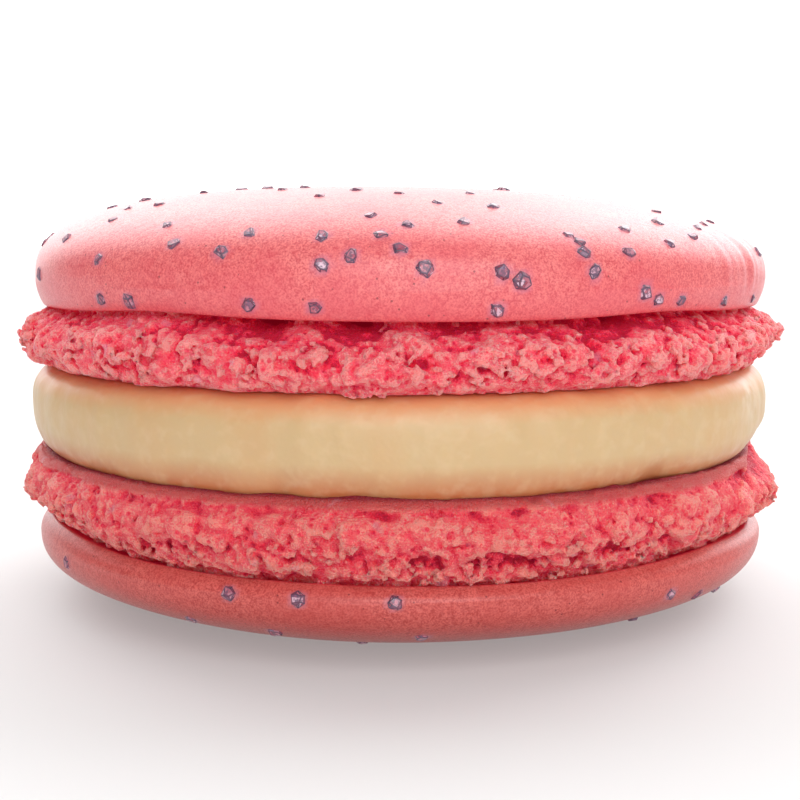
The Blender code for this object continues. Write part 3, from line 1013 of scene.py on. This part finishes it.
def skin_material(name, colours):
    """Baked skin: satin, with a fine grain of ground almond and a few tiny dark specks."""
    material, nodes, shader = new_material(name, 0.4, colours["sheen"])
    place = nodes.place()
    grain = nodes.noise(place, 0.1, 2, 0.6)
    mottle = nodes.noise(place, 0.34, 2, 0.6)
    patch = nodes.noise(place, 2.6, 2)
    both = nodes.plus(nodes.times(grain, 0.72), nodes.times(mottle, 0.28))
    colour = nodes.ramp(nodes.span(both, 0.32, 0.68), ((0.0, colours["deep"]), (1.0, colours["pale"])))
    colour = nodes.mix(nodes.span(patch, 0.35, 0.7, 0, 0.35), colour, colours["flush"])
    low = nodes.add("ShaderNodeSeparateXYZ", {0: place}).outputs["Z"]
    pink = nodes.span(low, PINK_LOW, PINK_HIGH, colours["pink"], 0)
    colour = nodes.mix(pink, colour, colours["flush"])
    # Painted shade: towards the bottom the skin is multiplied darker and browner by the shade colour
    shade = nodes.mix(nodes.span(low, 0, SHADE_HEIGHT, 1, 0), (1.0, 1.0, 1.0), colours["shade"])
    colour = nodes.mix(1.0, colour, shade, kind="MULTIPLY")
    speck = nodes.span(nodes.cells(place, SPECK_SIZE), 0.11, 0.2, 1, 0)
    speck = nodes.times(speck, nodes.span(nodes.chance(place, SPECK_SIZE), 0.85, 0.86))
    colour = nodes.mix(nodes.times(speck, 0.75), colour, colours["speck"])
    colour = nodes.mix(nodes.times(nodes.value("halo"), 0.5), colour, colours["halo"])
    # Under the lip the skin is painted deep crimson, as painted shade, and glows red, a painted glow
    under = nodes.value("under")
    height = nodes.plus(grain, nodes.times(nodes.noise(place, 0.7, 2), 0.8))
    nodes.feed(shader, {
        "Base Color": nodes.mix(under, colour, CRUMB_COLOURS["deep"]),
        "Roughness": nodes.span(grain, 0.25, 0.75, 0.38, 0.27),
        "Emission Color": CRUMB_COLOURS["glow"],
        "Emission Strength": nodes.times(under, colours["glow"] + HOLLOW_GLOW),
        "Normal": nodes.bump(height, 0.03, 0.6),
    })
    scatter(nodes, shader, 0.25, 1.0, (0.8, 0.12, 0.1))
    return material


def crumb_material(name, colours, skin, ledge_shade_share):
    """Baked foam, painted pale on its high crumbs and deep crimson down in its pores: painted highlights
    and shade.
    """
    material, nodes, shader = new_material(name, 0.5)
    place = nodes.place()
    fine = nodes.noise(place, 0.1, 2, 0.6)
    broad = nodes.noise(place, 0.9, 3)
    # How enclosed and how deep below the hull each place is, which darkens and reddens the colour: painted
    # shade
    pit = nodes.span(nodes.value("pit"), 0.3, 0.78)
    hollow = nodes.span(nodes.value("hollow"), 0.35, 0.8)
    deep = nodes.span(nodes.value("depth"), 0.75, 1.8)
    # Small pores, dipped in the bump and painted dark crimson: partly real pits, partly painted shade
    reach = nodes.span(nodes.chance(place, BUBBLE_SIZE), 0.3, 1, -0.25, 0.4, smooth=False)
    away = nodes.plus(nodes.cells(place, BUBBLE_SIZE), nodes.times(fine, 0.5))
    bubble_shade = nodes.span(nodes.minus(away, reach), 0.16, 0.4, 1, 0)
    # Small granules, raised in the bump and painted pale: partly real grains, partly painted glints
    granule_glint = nodes.span(nodes.cells(place, GRANULE_SIZE), 0.2, 0.45, 1, 0)
    granule_glint = nodes.times(granule_glint, nodes.span(nodes.chance(place, GRANULE_SIZE, 1), 0.45, 0.6))
    inside = nodes.times(pit, 0.45)
    for sign, share in ((hollow, 0.36), (deep, 0.6), (bubble_shade, 0.4), (granule_glint, -0.22)):
        inside = nodes.plus(inside, nodes.times(sign, share))
    stray = nodes.plus(nodes.times(nodes.minus(fine, 0.5), 1.1), nodes.minus(broad, 0.5))
    inside = nodes.plus(inside, nodes.times(stray, 0.8), clamp=True)
    # Open places are painted pale and enclosed ones deep crimson: painted highlights and shade, with noise
    # of the foam's own colour
    colour = nodes.ramp(inside, (
        (0.0, colours["high"]), (0.12, colours["pale"]), (0.4, colours["mid"]), (0.66, colours["red"]),
        (0.9, colours["deep"]),
    ))
    # Painted shade: the smooth ledge of the lower foot beside the cream is painted darker
    ledge_shade = nodes.span(nodes.value("level"), 0.08, 0.17, ledge_shade_share, 0)
    colour = nodes.mix(ledge_shade, colour, colours["ledge_shade"])
    # Painted shadow: a dark crimson line where the cream meets the lower foot
    colour = nodes.mix(nodes.value("contact_shadow"), colour, colours["contact_shadow"])
    tinge = nodes.span(nodes.noise(place, 1.3, 1), 0.68, 0.74, 0, 0.4)
    colour = nodes.mix(tinge, colour, colours["tinge"])
    height = nodes.plus(fine, nodes.noise(place, 0.2, 2))
    height = nodes.minus(height, nodes.times(bubble_shade, 0.4))
    height = nodes.plus(height, nodes.times(granule_glint, 0.35))
    nodes.feed(shader, {
        # Painted shade: the lower foot's colour is multiplied darker and less blue by this tint
        "Base Color": nodes.mix(1.0, colour, skin["painted_shade_tint"], kind="MULTIPLY"),
        "Roughness": nodes.span(nodes.noise(place, 0.12, 1), 0.6, 0.7, 0.62, 0.3),
        # Painted glow: the crumb glows red a little all over, and more in its pits and hollows
        "Emission Color": colours["glow"],
        "Emission Strength": nodes.span(inside, 0, 1, skin["glow"], skin["glow"] + HOLLOW_GLOW),
        "Normal": nodes.bump(height, 0.2, 1.0),
    })
    scatter(nodes, shader, 0.9, 1.0, (0.7, 0.12, 0.1))
    return material


def cream_material(name, colours):
    """Smooth cream, darker and oranger where it meets the shells: painted shade and painted reflected
    light from the shells.
    """
    material, nodes, shader = new_material(name, 0.42)
    place = nodes.place()
    level = nodes.value("level")
    streak = nodes.noise(place, 3.2, 3, 0.55, scale=(1, 1, 0.45))
    mottle = nodes.noise(place, 0.8, 2)
    level = nodes.plus(level, nodes.times(nodes.minus(streak, 0.5), 0.12))
    # By height the cream is painted darker and oranger towards both shells: painted shade and painted
    # reflected light
    colour = nodes.ramp(level, (
        (0.04, colours["low"]), (0.34, colours["mid"]), (0.72, colours["mid"]), (0.97, colours["high"]),
    ))
    colour = nodes.mix(nodes.span(streak, 0.4, 0.7, 0, 0.35), colour, colours["tan"])
    colour = nodes.mix(nodes.span(mottle, 0.45, 0.75, 0, 0.2), colour, colours["pale"])
    # Painted highlight: a whitish smear on the cream
    smear = nodes.times(nodes.value("smear"), nodes.span(mottle, 0.3, 0.6, 0.1, 0.5))
    height = nodes.plus(nodes.noise(place, 1.6, 3), nodes.times(mottle, 0.3))
    nodes.feed(shader, {
        "Base Color": nodes.mix(smear, colour, colours["smear"]), "Normal": nodes.bump(height, 0.12, 0.5),
    })
    scatter(nodes, shader, 0.4, 1.6, (1.0, 0.55, 0.3))
    return material


def sugar_material(name, stops, roughness, facet, cloudy):
    """One kind of face of the sugar crystals, broken into facets of colours that are painted refraction
    and glints.
    """
    material, nodes, shader = new_material(name, roughness)
    place = nodes.place()
    pick = nodes.maths("FRACT", nodes.plus(nodes.chance(place, facet), nodes.value("tint")))
    cloud = nodes.span(nodes.noise(place, 0.16, 2, 0.6), 0.46, 0.6, 0, cloudy)
    colour = nodes.mix(cloud, nodes.ramp(pick, stops), RIM_REFRACTION_STOPS[1][1])
    nodes.feed(shader, {"Base Color": colour, "Normal": nodes.bump(pick, 0.08, 0.6)})
    return material


UPPER_COLOURS = {
    "deep": linear(198, 68, 78),
    "pale": linear(238, 134, 130),
    "flush": linear(216, 80, 94),
    "shade": (1.0, 1.0, 1.0),
    "speck": linear(120, 40, 48),
    "sheen": 0.5,
    "pink": 0.4,
    "glow": 0.035,
    "painted_shade_tint": (1.0, 1.0, 1.0),
    "halo": linear(192, 118, 146),
}
# The lower shell's skin colours are darker and browner than the upper's: painted shade
LOWER_COLOURS = {
    "deep": linear(174, 62, 60),
    "pale": linear(217, 109, 102),
    "flush": linear(192, 74, 71),
    "shade": (0.52, 0.26, 0.18),
    "speck": linear(110, 36, 40),
    "sheen": 0.35,
    "pink": 0,
    "glow": 0.01,
    "painted_shade_tint": (0.86, 0.87, 0.78),
    "halo": linear(190, 130, 150),
}
# Crumb colours: from high to deep they run from painted highlight to painted shade on the pink foam; the
# line by the cream and the ledge are painted shadow and shade, and glow is a painted glow
CRUMB_COLOURS = {
    "high": linear(255, 152, 148),
    "pale": linear(255, 118, 126),
    "mid": linear(254, 78, 100),
    "red": linear(240, 30, 74),
    "deep": linear(200, 8, 56),
    "contact_shadow": linear(150, 16, 40),
    "glow": linear(255, 20, 66),
    "ledge_shade": linear(200, 74, 78),
    "tinge": linear(214, 150, 172),
}
CREAM_COLOURS = {
    "low": linear(184, 106, 62),
    "mid": linear(200, 170, 126),
    "high": linear(216, 150, 104),
    "tan": linear(204, 158, 110),
    "smear": linear(228, 216, 200),
    "pale": linear(218, 194, 155),
}
# Crystal colours: dark rims and pink, grey and whitish panes, painted refraction and glints of clear sugar
RIM_REFRACTION_STOPS = ((0.0, linear(74, 56, 76)), (0.5, linear(100, 76, 98)), (1.0, linear(106, 48, 68)))
PANE_REFRACTION_STOPS = (
    (0.0, linear(180, 80, 96)), (0.2, linear(194, 126, 142)), (0.42, linear(146, 48, 68)),
    (0.6, linear(216, 184, 200)), (0.78, linear(168, 70, 90)), (1.0, linear(116, 98, 126)),
)


def build_floor():
    """A plain pale floor."""
    bm = bmesh.new()
    bmesh.ops.create_circle(bm, cap_ends=True, radius=FLOOR_RADIUS, segments=96)
    mesh = bpy.data.meshes.new("floor")
    bm.to_mesh(mesh)
    bm.free()
    material, nodes, shader = new_material("floor", 0.9, 0.2)
    nodes.feed(shader, {
        "Base Color": FLOOR_COLOUR, "Emission Color": (1, 1, 1), "Emission Strength": FLOOR_GLOW,
    })
    mesh.materials.append(material)
    floor = add_object("floor", mesh)


def build_key():
    """A soft light from the front, a little above."""
    data = bpy.data.lights.new("key", "AREA")
    data.shape = "RECTANGLE"
    data.size, data.size_y = KEY_SIZE
    data.energy = KEY_POWER
    light = add_object("key", data)
    light.location = KEY_PLACE
    light.rotation_euler = (Vector(KEY_TARGET) - light.location).to_track_quat("-Z", "Y").to_euler()


def build_world():
    """A white studio: bright behind and overhead, softer in front."""
    world = bpy.data.worlds.new("studio")
    world.use_nodes = True
    nodes = Nodes(world.node_tree)
    towards = nodes.add("ShaderNodeTexCoord").outputs["Generated"]
    parts = nodes.add("ShaderNodeSeparateXYZ", {0: towards})
    left = nodes.span(parts.outputs["X"], -0.9, 0.1, WORLD_LEFT, 1)
    right = nodes.span(parts.outputs["X"], 0.2, 1, 1, WORLD_RIGHT)
    front = nodes.times(nodes.times(left, right), WORLD_FRONT)
    aside = nodes.maths("ABSOLUTE", parts.outputs["X"])
    behind = nodes.span(parts.outputs["Y"], 0.05, 0.35)
    behind = nodes.times(behind, nodes.span(aside, 0.55, 0.88, 1, 0))
    light = nodes.times(behind, nodes.minus(WORLD_BACK, front))
    light = nodes.plus(light, front)
    towards_box = nodes.times(aside, BACK_BOX_AT[0])
    for axis, share in zip("YZ", BACK_BOX_AT[1:]):
        towards_box = nodes.plus(towards_box, nodes.times(parts.outputs[axis], share))
    box = nodes.span(parts.outputs["X"], -0.3, 0.3, BACK_BOXES * BACK_BOX_LEFT, BACK_BOXES)
    box = nodes.times(box, nodes.span(towards_box, 0.82, 0.93))
    light = nodes.plus(light, box)
    nodes.feed(world.node_tree.nodes["Background"], {"Color": (1, 1, 1), "Strength": light})
    bpy.context.scene.world = world


def build_camera():
    data = bpy.data.cameras.new("camera")
    data.lens = SENSOR * CAMERA_FOCUS / 800
    data.sensor_width = SENSOR
    data.clip_start = 1 * MM
    camera = add_object("camera", data)
    camera.location = CAMERA_PLACE
    camera.rotation_euler = (math.radians(90) - CAMERA_DOWN, 0, 0)
    bpy.context.scene.camera = camera


def build():
    scene = bpy.context.scene
    scene.view_settings.view_transform = "Standard"
    rim = sugar_material("sugar_rim", RIM_REFRACTION_STOPS, 0.3, 0.3, 0)
    pane = sugar_material("sugar_pane", PANE_REFRACTION_STOPS, 0.28, 0.26, 0.8)
    for sizes, colours, rest in ((UPPER, UPPER_COLOURS, None), (LOWER, LOWER_COLOURS, REST_RADIUS)):
        shell = Shell(sizes)
        build_dome(shell, skin_material(f"{sizes['name']}_skin", colours), rest)
        ledge_shade_share = 0.85 if rest else 0
        build_foot(shell, crumb_material(f"{sizes['name']}_crumb", CRUMB_COLOURS, colours, ledge_shade_share))
        build_crystals(shell, [rim, pane])
    build_filling(cream_material("cream", CREAM_COLOURS))
    build_floor()
    build_world()
    build_key()
    build_camera()


build()
